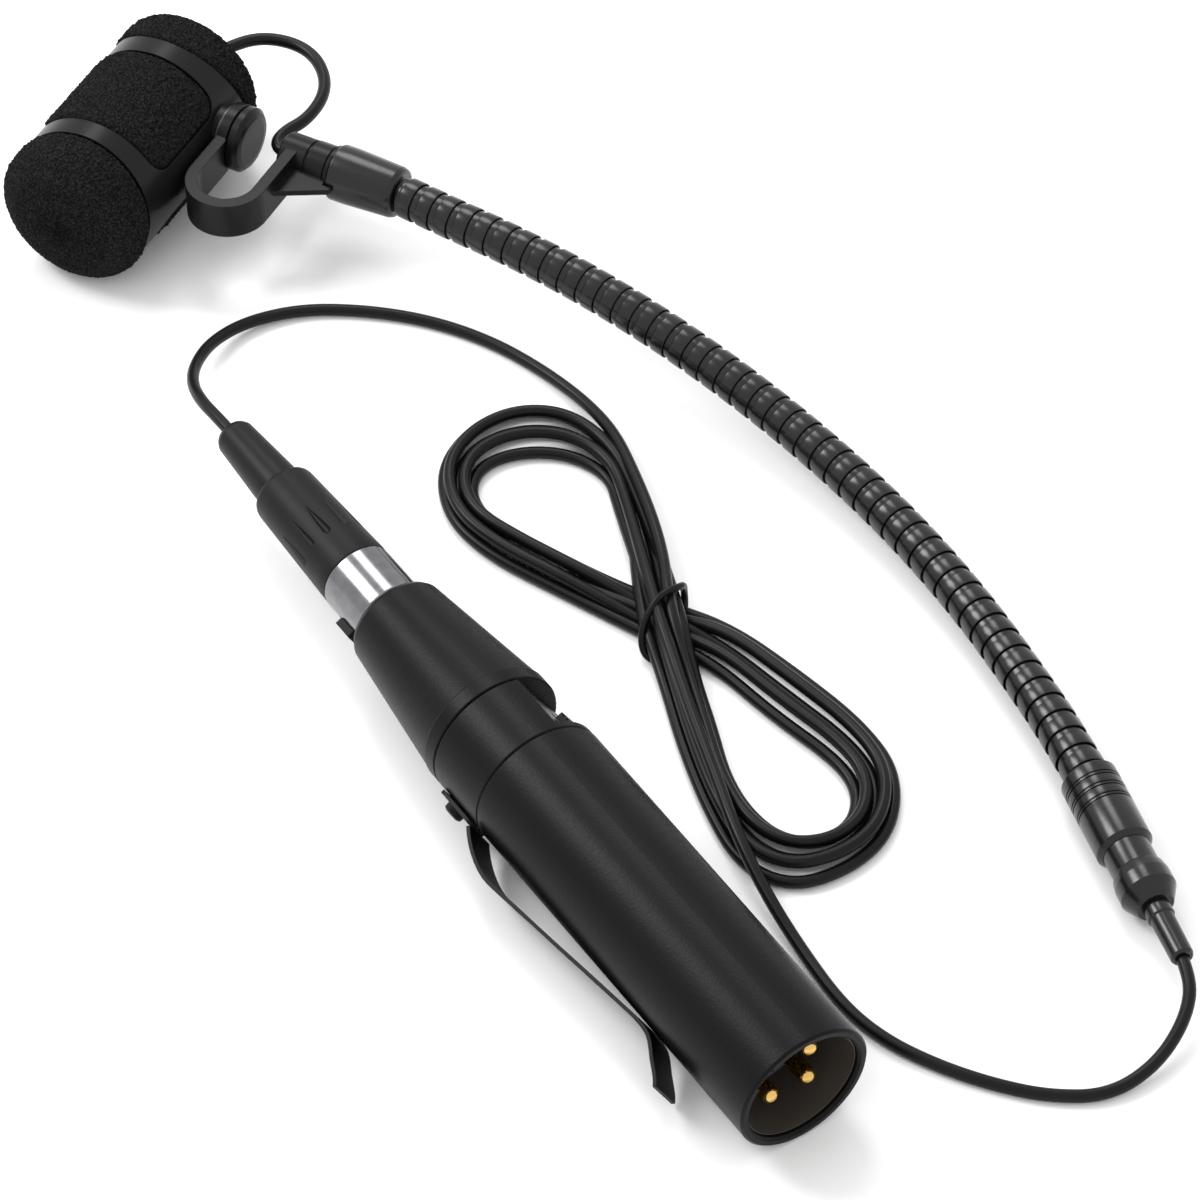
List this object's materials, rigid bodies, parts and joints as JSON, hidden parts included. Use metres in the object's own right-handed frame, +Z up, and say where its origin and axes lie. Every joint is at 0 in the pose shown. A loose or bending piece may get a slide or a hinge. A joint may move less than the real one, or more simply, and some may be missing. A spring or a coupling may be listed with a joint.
{
  "type": "gooseneck instrument microphone",
  "caption": "Small foam-covered microphone head on a jointed metal gooseneck, with a thin tied cable and an in-line adapter that ends in a three-pole male plug.",
  "frame": {"origin": "middle of the base of the object without its cable, on the surface it lies on", "axes": "+Y along the adapter from its three-pole end towards the microphone head, +Z up"},
  "size_m": [0.0862, 0.2294, 0.0226],
  "materials": {
    "foam": "open-cell foam, matt and grainy",
    "cradle_plastic": "semi-gloss moulded charcoal",
    "neck_metal": "black nickel, glossy",
    "adapter_metal": "satin black powder coat",
    "chrome": "polished nickel",
    "contact_gold": "gold plate",
    "clip_steel": "black satin spring steel",
    "backshell_black": "fine-grained matt black",
    "rubber": "smooth satin rubber",
    "cord_jacket": "satin PVC jacket",
    "insulator": "moulded insulator",
    "switch_plastic": "moulded button",
    "board": "green laminate",
    "component": "sleeved component",
    "steel": "plain steel",
    "capsule_metal": "machined brass"
  },
  "bodies": {
    "base": {"base_collar": "neck_metal", "base_flange": "neck_metal", "strain_relief": "neck_metal", "cord_neck_to_coil": "cord_jacket", "cord_coil": "cord_jacket", "coil_tie": "cord_jacket", "cord_coil_to_plug": "cord_jacket", "plug_boot": "rubber", "plug_backshell": "backshell_black", "plug_shell": "chrome", "plug_insert": "insulator", "plug_sockets": "contact_gold", "plug_cord_chuck": "insulator", "plug_latch_spring": "steel"},
    "latch_button": {"plug_latch_button": "switch_plastic"},
    "adapter": {"adapter_barrel": "adapter_metal", "adapter_sleeve": "adapter_metal", "adapter_rear_cap": "adapter_metal", "inlet_insert": "insulator", "inlet_pins": "contact_gold", "xlr_insert": "insulator", "xlr_contacts": "contact_gold", "xlr_retaining_screw": "steel", "circuit_board": "board", "output_transformer": "component", "smoothing_capacitors": "component", "clip_foot": "clip_steel", "clip_screw": "clip_steel", "bass_switch_body": "insulator"},
    "belt_clip": {"clip_blade": "clip_steel"},
    "bass_switch": {"bass_switch_slider": "switch_plastic"},
    "link_01": {"neck_link_01": "neck_metal"},
    "link_02": {"neck_link_02": "neck_metal"},
    "link_03": {"neck_link_03": "neck_metal"},
    "link_04": {"neck_link_04": "neck_metal"},
    "link_05": {"neck_link_05": "neck_metal"},
    "link_06": {"neck_link_06": "neck_metal"},
    "link_07": {"neck_link_07": "neck_metal"},
    "link_08": {"neck_link_08": "neck_metal"},
    "link_09": {"neck_link_09": "neck_metal"},
    "link_10": {"neck_link_10": "neck_metal"},
    "link_11": {"neck_link_11": "neck_metal"},
    "link_12": {"neck_link_12": "neck_metal"},
    "link_13": {"neck_link_13": "neck_metal"},
    "link_14": {"neck_link_14": "neck_metal"},
    "link_15": {"neck_link_15": "neck_metal"},
    "hook": {"neck_ferrule": "neck_metal", "hook_arm": "cradle_plastic"},
    "head": {"windscreen_foam": "foam", "head_cradle": "cradle_plastic", "capsule_housing": "capsule_metal", "capsule_grille": "capsule_metal", "capsule_element": "capsule_metal", "housing_end_cap": "insulator", "capsule_lead": "cord_jacket", "pivot_pin": "steel", "pivot_washer": "insulator", "pivot_button": "cradle_plastic"}
  },
  "joints": [
    {"name": "neck_bend_1", "type": "hinge", "parent": "base", "child": "link_01", "pos_m": [0.03414, -0.07632, 0.004], "axis": [0, 0, 1], "range_deg": [-12, 1.5]},
    {"name": "neck_lift_1", "type": "hinge", "parent": "link_01", "child": "link_02", "pos_m": [0.03619, -0.06698, 0.00392], "axis": [0.9815, -0.1916, 0], "range_deg": [0, 12]},
    {"name": "neck_bend_2", "type": "hinge", "parent": "link_02", "child": "link_03", "pos_m": [0.03781, -0.05756, 0.00384], "axis": [0, 0, 1], "range_deg": [-12, 1.5]},
    {"name": "neck_lift_2", "type": "hinge", "parent": "link_03", "child": "link_04", "pos_m": [0.03912, -0.04808, 0.00387], "axis": [0.994, -0.1091, 0], "range_deg": [0, 12]},
    {"name": "neck_bend_3", "type": "hinge", "parent": "link_04", "child": "link_05", "pos_m": [0.03989, -0.03855, 0.00408], "axis": [0, 0, 1], "range_deg": [-12, 1.5]},
    {"name": "neck_lift_3", "type": "hinge", "parent": "link_05", "child": "link_06", "pos_m": [0.04005, -0.029, 0.00446], "axis": [0.9999, 0.0146, 0], "range_deg": [0, 12]},
    {"name": "neck_bend_4", "type": "hinge", "parent": "link_06", "child": "link_07", "pos_m": [0.03961, -0.01946, 0.005], "axis": [0, 0, 1], "range_deg": [-12, 1.5]},
    {"name": "neck_lift_4", "type": "hinge", "parent": "link_07", "child": "link_08", "pos_m": [0.0386, -0.00998, 0.00568], "axis": [0.9909, 0.135, 0], "range_deg": [0, 12]},
    {"name": "neck_bend_5", "type": "hinge", "parent": "link_08", "child": "link_09", "pos_m": [0.03704, -0.00058, 0.0065], "axis": [0, 0, 1], "range_deg": [-12, 1.5]},
    {"name": "neck_lift_5", "type": "hinge", "parent": "link_09", "child": "link_10", "pos_m": [0.03498, 0.00871, 0.00746], "axis": [0.9703, 0.242, 0], "range_deg": [0, 12]},
    {"name": "neck_bend_6", "type": "hinge", "parent": "link_10", "child": "link_11", "pos_m": [0.03244, 0.01788, 0.00848], "axis": [0, 0, 1], "range_deg": [-12, 1.5]},
    {"name": "neck_lift_6", "type": "hinge", "parent": "link_11", "child": "link_12", "pos_m": [0.02944, 0.02691, 0.00946], "axis": [0.9418, 0.3361, 0], "range_deg": [0, 12]},
    {"name": "neck_bend_7", "type": "hinge", "parent": "link_12", "child": "link_13", "pos_m": [0.02604, 0.03581, 0.0103], "axis": [0, 0, 1], "range_deg": [-12, 1.5]},
    {"name": "neck_lift_7", "type": "hinge", "parent": "link_13", "child": "link_14", "pos_m": [0.02234, 0.04461, 0.01085], "axis": [0.9183, 0.3959, 0], "range_deg": [0, 12]},
    {"name": "neck_bend_8", "type": "hinge", "parent": "link_14", "child": "link_15", "pos_m": [0.01848, 0.05335, 0.01105], "axis": [0, 0, 1], "range_deg": [-12, 1.5]},
    {"name": "neck_lift_8", "type": "hinge", "parent": "link_15", "child": "hook", "pos_m": [0.01468, 0.06213, 0.0113], "axis": [0.9179, 0.3968, 0], "range_deg": [0, 12]},
    {"name": "head_pivot", "type": "hinge", "parent": "hook", "child": "head", "pos_m": [0.00169, 0.08557, 0.0113], "axis": [0.4848, -0.8746, 0], "range_deg": [-75, 75], "deforming": ["capsule_lead"]},
    {"name": "adapter_slide", "type": "slide", "parent": "base", "child": "adapter", "axis": [0, -1, 0], "range_m": [0, 0.012]},
    {"name": "latch_press", "type": "slide", "parent": "base", "child": "latch_button", "axis": [0.8829, 0, 0.4695], "range_m": [0, 0.0009], "stiffness_N_per_m": 400, "springref_m": -0.001, "deforming": ["plug_latch_spring"]},
    {"name": "clip_spring", "type": "hinge", "parent": "adapter", "child": "belt_clip", "pos_m": [-0.03833, -0.0424, 0.00504], "axis": [0.4612, 0, -0.8873], "range_deg": [0, 8], "stiffness_Nm_per_rad": 0.6, "springref_deg": -5.73},
    {"name": "bass_switch_slide", "type": "slide", "parent": "adapter", "child": "bass_switch", "axis": [0, 1, 0], "range_m": [0, 0.002]}
  ],
  "couplings": [
    {"joint": "neck_bend_2", "follows": "neck_bend_1", "ratio": 1},
    {"joint": "neck_lift_2", "follows": "neck_lift_1", "ratio": 1},
    {"joint": "neck_bend_3", "follows": "neck_bend_1", "ratio": 1},
    {"joint": "neck_lift_3", "follows": "neck_lift_1", "ratio": 1},
    {"joint": "neck_bend_4", "follows": "neck_bend_1", "ratio": 1},
    {"joint": "neck_lift_4", "follows": "neck_lift_1", "ratio": 1},
    {"joint": "neck_bend_5", "follows": "neck_bend_1", "ratio": 1},
    {"joint": "neck_lift_5", "follows": "neck_lift_1", "ratio": 1},
    {"joint": "neck_bend_6", "follows": "neck_bend_1", "ratio": 1},
    {"joint": "neck_lift_6", "follows": "neck_lift_1", "ratio": 1},
    {"joint": "neck_bend_7", "follows": "neck_bend_1", "ratio": 1},
    {"joint": "neck_lift_7", "follows": "neck_lift_1", "ratio": 1},
    {"joint": "neck_bend_8", "follows": "neck_bend_1", "ratio": 1},
    {"joint": "neck_lift_8", "follows": "neck_lift_1", "ratio": 1}
  ]
}
